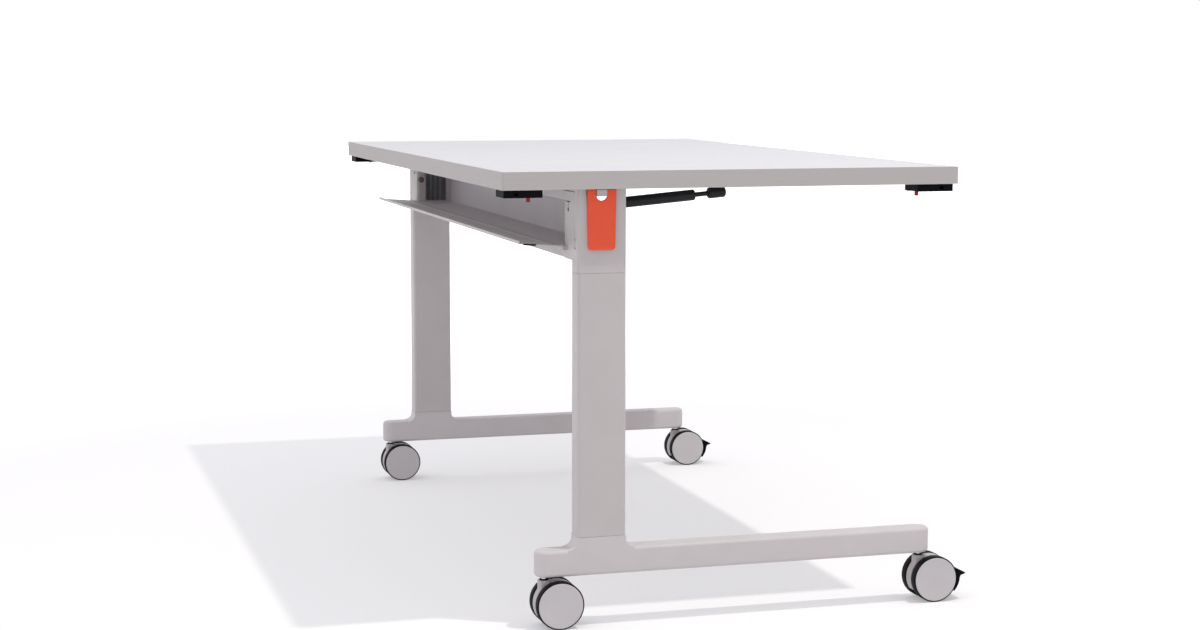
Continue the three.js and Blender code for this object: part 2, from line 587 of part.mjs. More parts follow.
// Cast foot: a rounded bar with a filleted column collar and two stem sockets
function makeFoot(place, side) {
  const length = FOOT_BACK - FOOT_FRONT;
  const middleY = (FOOT_BACK + FOOT_FRONT) / 2;
  const bevel = FOOT_EDGE;
  const plan = roundedRectangle(COLUMN_X - 2 * bevel, length - 2 * bevel, COLUMN_X / 2 - bevel - 0.01);
  const bar = new THREE.ExtrudeGeometry(plan, {
    depth: FOOT_TOP - FOOT_BOTTOM - 2 * bevel,
    bevelSize: bevel,
    bevelThickness: bevel,
    bevelSegments: 3,
    curveSegments: 6,
  });
  const x = side * COLUMN_MIDDLE_X;
  bar.translate(x, middleY, FOOT_BOTTOM + bevel);
  const [front, back] = [COLUMN_FRONT, COLUMN_BACK];
  const r = COLLAR_FILLET;
  const rise = new THREE.Shape();
  rise.moveTo(front - r, FOOT_TOP - bevel);
  rise.lineTo(front - r, FOOT_TOP);
  rise.absarc(front - r, FOOT_TOP + r, r, -Math.PI / 2, 0);
  rise.lineTo(front, COLLAR_TOP);
  rise.lineTo(back, COLLAR_TOP);
  rise.lineTo(back, FOOT_TOP + r);
  rise.absarc(back + r, FOOT_TOP + r, r, Math.PI, Math.PI * 1.5);
  rise.lineTo(back + r, FOOT_TOP - bevel);
  const collarBlock = alongX(rise, [x - COLUMN_X / 2, x + COLUMN_X / 2], 4);
  const trimPlan = roundedRectangle(COLUMN_X, COLUMN_Y + 2 * r + 2 * COLUMN_CORNER, COLUMN_CORNER);
  const trim = raised(trimPlan, x, COLUMN_MIDDLE_Y, [FOOT_BOTTOM, COLLAR_TOP + OVERCUT]);
  const collar = collarBlock.intersect(trim);
  const sockets = [STEM_BACK, STEM_FRONT].map((y) => (
    rodAlongZ(STEM_RADIUS + GAP, x, y, [FOOT_BOTTOM - OVERCUT, FOOT_BOTTOM + SOCKET_DEPTH])
  ));
  addPiece(`foot_${place}`, cut(joined(solid(bar), collar), ...sockets), 'paint');
}

// Crossbeam, cable trough, upper rail and trough door
function makeTrough() {
  const end = HEAD_INNER - GAP;
  const tube = new THREE.Shape();
  tube.moveTo(BEAM_FRONT, HEAD_UNDERSIDE);
  tube.lineTo(BEAM_BACK, HEAD_UNDERSIDE);
  tube.lineTo(BEAM_BACK, BEAM_TOP);
  tube.lineTo(BEAM_FRONT, BEAM_TOP);
  const w = BEAM_WALL;
  tube.holes.push(new THREE.Path([
    new THREE.Vector2(BEAM_FRONT + w, HEAD_UNDERSIDE + w),
    new THREE.Vector2(BEAM_FRONT + w, BEAM_TOP - w),
    new THREE.Vector2(BEAM_BACK - w, BEAM_TOP - w),
    new THREE.Vector2(BEAM_BACK - w, HEAD_UNDERSIDE + w),
  ]));
  addPiece('crossbeam', alongX(tube, [-end, end]), 'paint');
  const floorLow = BEAM_TOP + GAP;
  const sheet = outline([
    [TROUGH_FRONT, floorLow],
    [TROUGH_BACK, floorLow],
    [TROUGH_BACK, floorLow + SHEET],
    [TROUGH_FRONT + SHEET, floorLow + SHEET],
    [TROUGH_FRONT + SHEET, PANEL_TOP - SHEET],
    [TROUGH_FRONT + PANEL_RETURN, PANEL_TOP - SHEET],
    [TROUGH_FRONT + PANEL_RETURN, PANEL_TOP],
    [TROUGH_FRONT, PANEL_TOP],
  ]);
  addPiece('cable_trough', alongX(sheet, [-end, end]), 'paint');
  const rail = outline([
    [RAIL_FRONT, RAIL_BOTTOM],
    [BEAM_BACK, RAIL_BOTTOM],
    [BEAM_BACK, RAIL_TOP],
    [RAIL_FRONT, RAIL_TOP],
  ]);
  addPiece('upper_rail', alongX(rail, [-RAIL_HALF_LENGTH, RAIL_HALF_LENGTH]), 'paint');
}

function makeDoor() {
  const half = [-DOOR_HALF_LENGTH, DOOR_HALF_LENGTH];
  const leaf = outline([
    [0, DOOR_CURL - SHEET],
    [DOOR_REACH, DOOR_CURL - SHEET],
    [DOOR_REACH, DOOR_CURL + DOOR_LIP],
    [DOOR_REACH - SHEET, DOOR_CURL + DOOR_LIP],
    [DOOR_REACH - SHEET, DOOR_CURL],
    [0, DOOR_CURL],
  ]);
  const curl = rodAlongX(DOOR_CURL, half, 0, 0, 20);
  const bore = rodAlongX(DOOR_ROD_RADIUS + GAP, [half[0] - OVERCUT, half[1] + OVERCUT], 0, 0, 16);
  const door = geometryOf(cut(joined(curl, alongX(leaf, half)), bore));
  door.rotateX(THREE.MathUtils.degToRad(DOOR_OPEN_ANGLE));
  door.translate(0, DOOR_AXIS_Y, DOOR_AXIS_Z);
  addPiece('trough_door', solid(door), 'paint');
  const rodEnds = [-LUG_OUTER - OVERCUT, LUG_OUTER + OVERCUT];
  const rod = rodAlongX(DOOR_ROD_RADIUS, rodEnds, DOOR_AXIS_Y, DOOR_AXIS_Z, 12);
  addPiece('door_hinge_rod', rod, 'steel');
}

// A closed profile of axial places and radii, turned about the gas spring's line
function turned(profile, sides) {
  const points = profile.map(([along, radius]) => new THREE.Vector2(radius, along));
  const geometry = new THREE.LatheGeometry(points, sides);
  const line = new THREE.Vector3(0, SPRING_TIP_Y - SPRING_BASE_Y, SPRING_TIP_Z - SPRING_BASE_Z);
  const turn = new THREE.Quaternion().setFromUnitVectors(new THREE.Vector3(0, 1, 0), line.normalize());
  geometry.applyQuaternion(turn);
  geometry.translate(-SPRING_X, SPRING_BASE_Y, SPRING_BASE_Z);
  return solid(geometry);
}

function makeGasSpring() {
  const length = Math.hypot(SPRING_TIP_Y - SPRING_BASE_Y, SPRING_TIP_Z - SPRING_BASE_Z);
  const socketEnd = length + SOCKET_PAST_PIN;
  const socketStart = socketEnd - SOCKET_LENGTH;
  const cylinderEnd = socketStart - ROD_SHOWN;
  const bore = ROD_RADIUS + ROD_PLAY;
  const boreFloor = cylinderEnd - ROD_INSIDE - ROD_SPARE;
  const cylinder = turned([
    [CYLINDER_START, 0],
    [CYLINDER_START, CYLINDER_RADIUS - 1],
    [CYLINDER_START + 1, CYLINDER_RADIUS],
    [cylinderEnd - 1.5, CYLINDER_RADIUS],
    [cylinderEnd, CYLINDER_RADIUS - 1.5],
    [cylinderEnd, bore],
    [boreFloor, bore],
    [boreFloor, 0],
  ], 20);
  const eyeX = [-SPRING_X - EYE_HALF_WIDTH, -SPRING_X + EYE_HALF_WIDTH];
  const rearEye = rodAlongX(EYE_RADIUS, eyeX, SPRING_BASE_Y, SPRING_BASE_Z, 20);
  addPiece('gas_spring_cylinder', joined(cylinder, rearEye), 'black');
  const rod = turned([
    [cylinderEnd - ROD_INSIDE, 0],
    [cylinderEnd - ROD_INSIDE, ROD_RADIUS],
    [socketStart, ROD_RADIUS],
    [socketStart, SOCKET_RADIUS - 1.5],
    [socketStart + 1.5, SOCKET_RADIUS],
    [socketEnd - 2, SOCKET_RADIUS],
    [socketEnd, SOCKET_RADIUS - 2],
    [socketEnd, 0],
  ], 20);
  const cheekInner = -SPRING_X + SOCKET_RADIUS + CHEEK_GAP;
  const cheekX = [cheekInner, cheekInner + CHEEK_THICKNESS];
  const pinX = [-SPRING_X - SOCKET_RADIUS - CHEEK_GAP, cheekInner + OVERCUT];
  const tipBoreX = [pinX[0] - OVERCUT, pinX[1]];
  const tipBore = rodAlongX(SPRING_PIN_RADIUS + GAP, tipBoreX, SPRING_TIP_Y, SPRING_TIP_Z, 16);
  addPiece('gas_spring_rod', cut(rod, tipBore), 'black');
  const plateLow = UNDERSIDE - GAP - BRACKET_THICKNESS;
  const plateX = [cheekInner, cheekX[1] + BRACKET_WIDTH];
  const plateY = [SPRING_TIP_Y - BRACKET_HALF_LENGTH, SPRING_TIP_Y + BRACKET_HALF_LENGTH];
  const cheekY = [SPRING_TIP_Y - CHEEK_HALF_WIDTH, SPRING_TIP_Y + CHEEK_HALF_WIDTH];
  const plate = box(plateX, plateY, [plateLow, UNDERSIDE - GAP]);
  const cheek = box(cheekX, cheekY, [SPRING_TIP_Z - CHEEK_DROP, plateLow + OVERCUT / 2]);
  const pin = rodAlongX(SPRING_PIN_RADIUS, pinX, SPRING_TIP_Y, SPRING_TIP_Z, 16);
  addPiece('gas_spring_bracket', joined(plate, cheek, pin), 'black');
  const studX = [-SPRING_X + CYLINDER_RADIUS + CHEEK_GAP, -HEAD_INNER - HEAD_WALL - GAP];
  const stud = rodAlongX(STUD_RADIUS, studX, SPRING_BASE_Y, SPRING_BASE_Z, 16);
  addPiece('gas_spring_stud', stud, 'steel');
}

// One caster wheel: tyre, recessed face and hub, turned about X
function makeWheel(name, x, y, face) {
  const [inner, outer] = [WHEEL_INNER, WHEEL_OUTER];
  const r = WHEEL_RADIUS / Math.cos(Math.PI / WHEEL_SIDES);
  const bore = AXLE_RADIUS + 2 * GAP;
  const boreFloor = outer - COVER_THICKNESS;
  const profile = [
    [inner, bore],
    [inner, r - 3],
    [inner + 2, r - 0.6],
    [inner + 4, r],
    [outer - 1.8, r],
    [outer - 0.6, r - 0.9],
    [outer - 0.6, r - 1.9],
    [outer, r - 2.4],
    [outer, 0],
    [boreFloor, 0],
    [boreFloor, bore],
    [inner, bore],
  ];
  const points = profile.map(([along, radius]) => new THREE.Vector2(radius, along));
  const geometry = new THREE.LatheGeometry(points, WHEEL_SIDES, Math.PI / WHEEL_SIDES);
  geometry.rotateZ(face > 0 ? -Math.PI / 2 : Math.PI / 2);
  geometry.translate(x, y, WHEEL_RADIUS);
  addPiece(name, solid(geometry), 'rubber');
}

// Twin-wheel caster: stem in the foot, hood that swivels on it, axle, wheels and any brake
function makeCaster(place, side, stemY, hasBrake) {
  const x = side * COLUMN_MIDDLE_X;
  const axleY = stemY - CASTER_TRAIL;
  const bossTop = FOOT_BOTTOM - BOSS_DROP;
  const stemEnds = [bossTop - STEM_DEPTH, FOOT_BOTTOM + STEM_DEPTH + 2];
  addPiece(`caster_stem_${place}`, rodAlongZ(STEM_RADIUS, x, stemY, stemEnds), 'steel');
  addPiece(`caster_hood_${place}`, makeHood(x, stemY, axleY, bossTop, hasBrake), 'plastic');
  if (hasBrake) {
    addPiece(`brake_lever_${place}`, makeLever(x, axleY), 'black');
  }
  const axleHalf = WHEEL_OUTER - COVER_THICKNESS - 0.5;
  const axle = rodAlongX(AXLE_RADIUS, [x - axleHalf, x + axleHalf], axleY, WHEEL_RADIUS, 16);
  addPiece(`caster_axle_${place}`, axle, 'steel');
  makeWheel(`wheel_${place}_left`, x, axleY, -1);
  makeWheel(`wheel_${place}_right`, x, axleY, 1);
}

// Hood between the wheels, with a boss that turns on the stem
function makeHood(x, stemY, axleY, bossTop, hasBrake) {
  const r = WHEEL_RADIUS;
  const width = [x - HOOD_HALF_WIDTH, x + HOOD_HALF_WIDTH];
  const wide = [width[0] - OVERCUT, width[1] + OVERCUT];
  const frontAngle = THREE.MathUtils.degToRad(hasBrake ? HOOD_FRONT_ANGLE_BRAKE : HOOD_FRONT_ANGLE);
  const backAngle = THREE.MathUtils.degToRad(HOOD_BACK_ANGLE);
  const shade = new THREE.Shape();
  shade.moveTo(axleY - 10, r - 8);
  shade.lineTo(axleY + 6, r - 12);
  shade.lineTo(axleY + HOOD_RADIUS * Math.cos(backAngle), r + HOOD_RADIUS * Math.sin(backAngle));
  shade.absarc(axleY, r, HOOD_RADIUS, backAngle, frontAngle);
  const web = alongX(shade, width, 12);
  const boss = rodAlongZ(STEM_RADIUS + BOSS_WALL, x, stemY, [r + BOSS_RISE, bossTop], 24);
  const trimmedBoss = boss.intersect(box(width, [stemY - 20, stemY + 20], [0, bossTop]));
  const crown = rodAlongZ(STEM_RADIUS + CROWN_WALL, x, stemY, [CROWN_BOTTOM, bossTop], 24);
  const stemBore = rodAlongZ(STEM_RADIUS + GAP, x, stemY, [bossTop - STEM_DEPTH - GAP, bossTop + OVERCUT]);
  const axleBore = rodAlongX(AXLE_RADIUS + GAP, wide, axleY, r, 16);
  const hood = cut(joined(web, trimmedBoss, crown), stemBore, axleBore);
  if (!hasBrake) {
    return hood;
  }
  const [kneeForward, kneeUp] = LEVER_KNEE;
  return cut(hood, rodAlongX(KNUCKLE_RADIUS + 2 * GAP, wide, axleY - kneeForward, r + kneeUp, 16));
}

// Brake lever: a knuckle in the hood, a neck, and a pedal that wraps the wheels' front
function makeLever(x, axleY) {
  const [kneeForward, kneeUp] = LEVER_KNEE;
  const at = ([forward, up]) => [axleY - forward, WHEEL_RADIUS + up];
  const offTread = (degrees) => {
    const angle = THREE.MathUtils.degToRad(degrees);
    return [LEVER_CLEAR_RADIUS * Math.cos(angle), LEVER_CLEAR_RADIUS * Math.sin(angle)];
  };
  const neckX = [x - HOOD_HALF_WIDTH + 1.2, x + HOOD_HALF_WIDTH - 1.2];
  const knuckle = rodAlongX(KNUCKLE_RADIUS, neckX, ...at(LEVER_KNEE), 16);
  const neck = alongX(outline([
    [kneeForward, kneeUp + 2.5],
    [38.6, 15],
    [40.6, 9.5],
    [kneeForward, kneeUp - 2.5],
  ].map(at)), neckX);
  const pedal = alongX(outline([
    [38, 15.4],
    [LEVER_REACH - 0.6, 8.2],
    [LEVER_REACH, 7.4],
    [LEVER_REACH - 0.8, 6.4],
    [46.5, 3.8],
    [45, -0.5],
    [44.2, -6],
    [42.6, -11],
    [40, -16],
    [35.7, -22.5],
    offTread(-32),
    offTread(-22),
    offTread(-12),
    offTread(0),
    offTread(11),
  ].map(at)), [x - LEVER_HALF_WIDTH, x + LEVER_HALF_WIDTH]);
  return joined(knuckle, neck, pedal);
}

makeBoard();
makeTrough();
makeDoor();
makeGasSpring();
for (const [leg, side] of [['left', -1], ['right', 1]]) {
  makeHead(leg, side, leg === 'left');
  makeHingeArm(leg, side);
  makePaddle(leg, side);
  makeLatchSpring(leg, side);
  makeStopPad(leg, side);
  makeColumn(leg, side);
  makeFoot(leg, side);
  makeLink(`back_${leg}`, side, 1, leg === 'left');
  makeLink(`front_${leg}`, side, -1, leg === 'left');
  makeCaster(`back_${leg}`, side, STEM_BACK, false);
  makeCaster(`front_${leg}`, side, STEM_FRONT, true);
}

export default table;
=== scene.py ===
import math

import bmesh
import bpy
from mathutils import Matrix, Vector


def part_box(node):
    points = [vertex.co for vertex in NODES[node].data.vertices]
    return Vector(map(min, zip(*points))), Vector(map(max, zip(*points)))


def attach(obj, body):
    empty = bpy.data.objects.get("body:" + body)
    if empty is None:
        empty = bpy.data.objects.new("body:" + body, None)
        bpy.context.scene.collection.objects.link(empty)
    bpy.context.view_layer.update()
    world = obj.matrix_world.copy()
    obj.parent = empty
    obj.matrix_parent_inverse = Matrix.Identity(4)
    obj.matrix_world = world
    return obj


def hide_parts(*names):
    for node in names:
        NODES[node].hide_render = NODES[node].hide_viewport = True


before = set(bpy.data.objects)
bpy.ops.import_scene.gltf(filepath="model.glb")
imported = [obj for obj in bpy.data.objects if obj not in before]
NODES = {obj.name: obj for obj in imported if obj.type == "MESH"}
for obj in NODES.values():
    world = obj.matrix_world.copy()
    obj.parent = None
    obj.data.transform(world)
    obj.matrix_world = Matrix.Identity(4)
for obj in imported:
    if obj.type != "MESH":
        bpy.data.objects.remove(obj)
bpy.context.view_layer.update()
MM = 0.001

# Photograph's view, found from the board's corners
CAMERA_PLACE = Vector((-3.8529, 1.1762, 0.8849))
CAMERA_YAW = 16.41
CAMERA_PITCH = 6.62
CAMERA_ROLL = 0.08
CAMERA_LENS = 64.2
SENSOR_WIDTH = 36.0

# Light: one small lamp above the near end and a soft surround, brighter towards the back
LAMP_PLACE = Vector((-1.30, -0.83, 3.65))
LAMP_AIM = Vector((0, 0, 0.6))
LAMP_SIZE = 0.10
LAMP_POWER = 50.0
LAMP_COLOUR = (1.0, 0.965, 0.92)
SURROUND = 0.78
SURROUND_TILT = 0.22
BRIGHTER_SIDE = (0.35, 0.94, 0.0)
NEAR_TINT = (0.98, 0.965, 1.0, 1)
FAR_TINT = (0.945, 0.93, 1.0, 1)
NEAR_STRENGTH = 0.6
FAR_STRENGTH = 1.0
FLOOR_SIZE = 40.0
FLOOR_COLOUR = 0.75
FLOOR_GLOW = 0.30
GLOW_NEAR = 1.4
GLOW_FAR = 3.5

# Sizes of the part that its details are set out from, in millimetres
SHIFT_Y = 18.5
LEG_OUTER = 661
HEAD_INNER = 580
HEAD_FLOOR = 592
HEAD_WALL = 6
HEAD_DEPTH = 80
HEAD_MIDDLE_Y = 214 + SHIFT_Y
HEAD_BACK_Y = 254
UNDERSIDE = 697
DOOR_AXIS_Y = 258.5
DOOR_AXIS_Z = 600
DOOR_OPEN_ANGLE = 4
WHEEL_INNER = 9.3
STEM_X = 642
STEM_Y = {1: 304, -1: -342}
BOSS_TOP = 77
RING_GAP = 0.3

# Places of the small fittings on the part, in millimetres
BOLT_Y = 245
BOLT_Z = 648
BACK_PLUG_X = 606
BACK_PLUG_Z = 661
BACK_PLUG_DEPTH = 5
FLANGE_SCREWS = ((608, 186), (608, 228), (632, 186))
FLANGE_UNDER = UNDERSIDE - 5.3
LINK_SCREW_X = 629.5
LINK_SCREWS_Y = (318.5, 344.0)
LINK_UNDER = UNDERSIDE - 12.5
BRACKET_SCREW_X = -578
BRACKET_SCREWS_Y = (-9.4, 10.6)
BRACKET_UNDER = UNDERSIDE - 3.5
SPRING_X = -606
SPRING_BASE = (188, 668.7)
SPRING_TIP = (0.6, 685)
ROD_FROM_TIP = 44
SLEEVE_GAP = 1.2

# Radius and height of the small screws' heads, in millimetres
FLANGE_SCREW_HEAD = (4.2, 2.6)
LINK_SCREW_HEAD = (3.4, 1.8)
BRACKET_SCREW_HEAD = (3.6, 2.2)

# Limits for rounding and shading the meshes, in degrees and millimetres
SHARP_ANGLE = 38
FLAT_ANGLE = 0.3
WELD_DISTANCE = 0.005
JOIN_DISTANCE = 0.001
CAVITY_MARGIN = 0.5

# Numbers of faces on round stretches
EDGE_SEGMENTS = 3
PLUG_SEGMENTS = 2
WHEEL_SIDES = 96
FITTING_SIDES = 32

# Range of a pattern's values that a change of colour or gloss is spread over
NOISE_LOW = 0.3
NOISE_HIGH = 0.7
CLOUD_LOW = 0.32
CLOUD_HIGH = 0.68
RIB_LOW = 0.25
RIB_HIGH = 0.75

# Fineness of the surfaces' patterns, in cells to the metre
LAMINATE_CLOUDS = 6.0
LAMINATE_PATCHES = 60.0
LAMINATE_PEARL = 1400.0
BACKER_SPECKLE = 900.0
PAINT_CLOUDS = 14.0
PAINT_PATCHES = 70.0
PAINT_GRAIN = 1100.0
EDGE_PATCHES = 90.0
EDGE_LINES = (12.0, 12.0, 900.0)
RIB_WAVES = 60.0

# Character of the surfaces' patterns
RIB_DISTORTION = 1.5
RIB_STRETCH = (1.0, 1.0, 0.02)
PATCHES_TO_CLOUDS = 5
CLOUD_DETAIL = 4.0
PATCH_DETAIL = 3.0
GRAIN_ROUGHNESS = 0.6
PEARL_STRENGTH = 0.6

# Heights of the surfaces' grain, in metres
LINE_HEIGHT = 0.01 * MM
FINE = 0.02 * MM
MIDDLE = 0.03 * MM
COARSE = 0.04 * MM

# Ranges of roughness, and shares by which colours darken and lighten
SATIN = (0.42, 0.55)
LAMINATE_GLOSS = (0.36, 0.46)
LAMINATE_SHADES = (0.985, 1.01)
EDGE_SHADES = (0.97, 1.02)
METAL_SHADES = (0.82, 1.08)
PAINT_MOTTLE = 0.02

# Places of the colour sockets on a Mix node
MIX_FIRST = 6
MIX_SECOND = 7
MIX_RESULT = 2

# Legs and ends of the table, as they are named in the frame
LEGS = {"left": -1, "right": 1}
PLACES = [f"{end}_{leg}" for leg in LEGS for end in ("back", "front")]
HANDS = {"left": -1, "right": 1}


# Colours
def linear(value):
    """A screen colour's part, from 0 to 255, as linear light from 0 to 1."""
    value /= 255
    if value <= 0.04045:
        return value / 12.92
    return ((value + 0.055) / 1.055) ** 2.4


def tone(red, green, blue):
    return (linear(red), linear(green), linear(blue), 1.0)


def scaled(colour, factor):
    return tuple(min(1.0, part * factor) for part in colour[:3]) + (1.0,)


PAINT = tone(202, 197, 196)
# Lighter than the frame's paint; the difference is painted light, standing in for light reaching the
# trough in its shade
SHEET_PAINT_AND_PAINTED_LIGHT = tone(216, 211, 213)
# Lighter than the frame's paint; the difference is painted light, standing in for light thrown up from
# the floor onto the feet
FOOT_PAINT_AND_PAINTED_LIGHT = tone(212, 207, 207)
WHITE = tone(208, 208, 212)
BACKER_DARK = tone(190, 187, 186)
BACKER_LIGHT = tone(206, 203, 201)
EDGE_GREY = tone(196, 192, 189)
# Painted shade and highlight for the stripes in the heads' cavities
RIB_SHADE = tone(182, 184, 190)
RIB_HIGHLIGHT = tone(216, 218, 223)


# Node helpers
class Nodes:
    """The node tree of a material or world, with short calls to add and link nodes."""

    def __init__(self, owner):
        owner.use_nodes = True
        self.tree = owner.node_tree
        self.tree.nodes.clear()

    def add(self, kind, **settings):
        node = self.tree.nodes.new("ShaderNode" + kind)
        for key, value in settings.items():
            setattr(node, key, value)
        return node

    def link(self, start, end):
        self.tree.links.new(start, end)


def noise(nodes, place, scale, detail=2.0, roughness=0.5):
    node = nodes.add("TexNoise")
    node.inputs["Scale"].default_value = scale
    node.inputs["Detail"].default_value = detail
    node.inputs["Roughness"].default_value = roughness
    nodes.link(place, node.inputs["Vector"])
    return node.outputs["Fac"]


def ramp(nodes, factor, stops):
    node = nodes.add("ValToRGB")
    for element, (position, colour) in zip(node.color_ramp.elements, stops):
        element.position = position
        element.color = colour
    nodes.link(factor, node.inputs["Fac"])
    return node.outputs["Color"]


def spread(nodes, factor, low, high):
    node = nodes.add("MapRange")
    node.inputs["From Min"].default_value = NOISE_LOW
    node.inputs["From Max"].default_value = NOISE_HIGH
    node.inputs["To Min"].default_value = low
    node.inputs["To Max"].default_value = high
    nodes.link(factor, node.inputs["Value"])
    return node.outputs["Result"]


def blend(nodes, factor, first, second):
    node = nodes.add("Mix", data_type="RGBA")
    nodes.link(factor, node.inputs["Factor"])
    nodes.link(first, node.inputs[MIX_FIRST])
    nodes.link(second, node.inputs[MIX_SECOND])
    return node.outputs[MIX_RESULT]


def stretched(nodes, place, scale):
    node = nodes.add("Mapping")
    node.inputs["Scale"].default_value = scale
    nodes.link(place, node.inputs["Vector"])
    return node.outputs["Vector"]


def drawn_lines(nodes, place, stretch):
    return noise(nodes, stretched(nodes, place, stretch), 1.0, PATCH_DETAIL)


def varied(nodes, factor, colour, shades):
    """A colour made darker and lighter over a noise texture's usual range."""
    low, high = shades
    return ramp(nodes, factor, [(NOISE_LOW, scaled(colour, low)), (NOISE_HIGH, scaled(colour, high))])


def clouded(nodes, place, colour, scale, amount):
    clouds = noise(nodes, place, scale, CLOUD_DETAIL)
    stops = [(CLOUD_LOW, scaled(colour, 1 - amount)), (CLOUD_HIGH, scaled(colour, 1 + amount))]
    return ramp(nodes, clouds, stops)


def bump(nodes, height, distance, strength=1.0):
    node = nodes.add("Bump")
    node.inputs["Strength"].default_value = strength
    node.inputs["Distance"].default_value = distance
    nodes.link(height, node.inputs["Height"])
    return node.outputs["Normal"]


def surface(name, metallic=0.0, specular=0.5):
    """A bare Principled material: its nodes, its shader and its object coordinates."""
    material = bpy.data.materials.new(name)
    nodes = Nodes(material)
    shader = nodes.add("BsdfPrincipled")
    shader.inputs["Metallic"].default_value = metallic
    shader.inputs["Specular IOR Level"].default_value = specular
    output = nodes.add("OutputMaterial")
    nodes.link(shader.outputs["BSDF"], output.inputs["Surface"])
    place = nodes.add("TexCoord").outputs["Object"]
    return material, nodes, shader, place


def grained(name, colour, gloss, mottle, grain, specular=0.5):
    """Moulded or sprayed finish: cloudy tint, uneven gloss and a fine raised grain."""
    material, nodes, shader, place = surface(name, specular=specular)
    mottle_scale, mottle_amount = mottle
    nodes.link(clouded(nodes, place, colour, mottle_scale, mottle_amount), shader.inputs["Base Color"])
    patches = noise(nodes, place, mottle_scale * PATCHES_TO_CLOUDS, PATCH_DETAIL)
    nodes.link(spread(nodes, patches, *gloss), shader.inputs["Roughness"])
    grain_scale, grain_height = grain
    raised = noise(nodes, place, grain_scale, roughness=GRAIN_ROUGHNESS)
    nodes.link(bump(nodes, raised, grain_height), shader.inputs["Normal"])
    return material


def brushed(name, colour, gloss, stretch):
    """Drawn or turned metal with fine lines, as close in each direction as stretch says."""
    material, nodes, shader, place = surface(name, metallic=1.0)
    lines = drawn_lines(nodes, place, stretch)
    nodes.link(varied(nodes, lines, colour, METAL_SHADES), shader.inputs["Base Color"])
    nodes.link(spread(nodes, lines, *gloss), shader.inputs["Roughness"])
    nodes.link(bump(nodes, lines, LINE_HEIGHT), shader.inputs["Normal"])
    return material


def laminate(name):
    """White pressed laminate above and a plain grey balancing sheet below."""
    material, nodes, shader, place = surface(name, specular=0.4)
    clouds = noise(nodes, place, LAMINATE_CLOUDS, PATCH_DETAIL)
    face = varied(nodes, clouds, WHITE, LAMINATE_SHADES)
    speckle = noise(nodes, place, BACKER_SPECKLE)
    backer = ramp(nodes, speckle, [(NOISE_LOW, BACKER_DARK), (NOISE_HIGH, BACKER_LIGHT)])
    split = nodes.add("SeparateXYZ")
    nodes.link(place, split.inputs["Vector"])
    below = nodes.add("Math", operation="LESS_THAN")
    low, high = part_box("table_top")
    below.inputs[1].default_value = (low.z + high.z) / 2
    nodes.link(split.outputs["Z"], below.inputs[0])
    nodes.link(blend(nodes, below.outputs[0], face, backer), shader.inputs["Base Color"])
    patches = noise(nodes, place, LAMINATE_PATCHES)
    nodes.link(spread(nodes, patches, *LAMINATE_GLOSS), shader.inputs["Roughness"])
    pearl = nodes.add("TexVoronoi")
    pearl.inputs["Scale"].default_value = LAMINATE_PEARL
    nodes.link(place, pearl.inputs["Vector"])
    nodes.link(bump(nodes, pearl.outputs["Distance"], FINE, PEARL_STRENGTH), shader.inputs["Normal"])
    return material


def head_paint_and_cavity_shade(name):
    """The frame's paint outside, and painted shade and highlight in each cavity: upright light and dark
    stripes for lit and shaded ribbing.
    """
    material, nodes, shader, place = surface(name)
    outside = clouded(nodes, place, PAINT, PAINT_CLOUDS, PAINT_MOTTLE)
    painted_rib_stripes = nodes.add("TexWave", bands_direction="DIAGONAL")
    painted_rib_stripes.inputs["Scale"].default_value = RIB_WAVES
    painted_rib_stripes.inputs["Distortion"].default_value = RIB_DISTORTION
    nodes.link(stretched(nodes, place, RIB_STRETCH), painted_rib_stripes.inputs["Vector"])
    # Painted shade and highlight: darker and lighter stripes stand in for the cavity's ribbing in light
    # and shade
    inside = ramp(nodes, painted_rib_stripes.outputs["Fac"], [(RIB_LOW, RIB_SHADE), (RIB_HIGH, RIB_HIGHLIGHT)])
    nodes.link(blend(nodes, within_head(nodes, place), outside, inside), shader.inputs["Base Color"])
    patches = noise(nodes, place, PAINT_PATCHES, PATCH_DETAIL)
    nodes.link(spread(nodes, patches, *SATIN), shader.inputs["Roughness"])
    raised = noise(nodes, place, PAINT_GRAIN, roughness=GRAIN_ROUGHNESS)
    nodes.link(bump(nodes, raised, MIDDLE), shader.inputs["Normal"])
    return material


def within_head(nodes, place):
    """1 inside either head's cavity, where the painted rib shading goes, and 0 elsewhere, from the
    object's own coordinates.
    """
    skin = (HEAD_WALL - CAVITY_MARGIN) * MM
    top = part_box("leg_head_right")[1].z
    middle_x = (LEG_OUTER + HEAD_INNER) / 2 * MM
    half_x = (LEG_OUTER - HEAD_INNER) / 2 * MM - skin
    split = nodes.add("SeparateXYZ")
    nodes.link(place, split.inputs["Vector"])
    across = nodes.add("Math", operation="ABSOLUTE")
    nodes.link(split.outputs["X"], across.inputs[0])
    tests = [
        near(nodes, across.outputs[0], middle_x, half_x),
        near(nodes, split.outputs["Y"], HEAD_MIDDLE_Y * MM, HEAD_DEPTH / 2 * MM - skin),
        near(nodes, split.outputs["Z"], top, top - (HEAD_FLOOR - CAVITY_MARGIN) * MM),
    ]
    total = tests[0]
    for test in tests[1:]:
        both = nodes.add("Math", operation="MULTIPLY")
        nodes.link(total, both.inputs[0])
        nodes.link(test, both.inputs[1])
        total = both.outputs[0]
    return total


def near(nodes, value, middle, reach):
    node = nodes.add("Math", operation="COMPARE")
    nodes.link(value, node.inputs[0])
    node.inputs[1].default_value = middle
    node.inputs[2].default_value = reach
    return node.outputs[0]


def edging(name):
    """Extruded edge strip with faint lines along its run."""
    material, nodes, shader, place = surface(name, specular=0.04)
    lines = drawn_lines(nodes, place, EDGE_LINES)
    nodes.link(varied(nodes, lines, EDGE_GREY, EDGE_SHADES), shader.inputs["Base Color"])
    patches = noise(nodes, place, EDGE_PATCHES)
    nodes.link(spread(nodes, patches, *SATIN), shader.inputs["Roughness"])
    nodes.link(bump(nodes, lines, FINE), shader.inputs["Normal"])
    return material


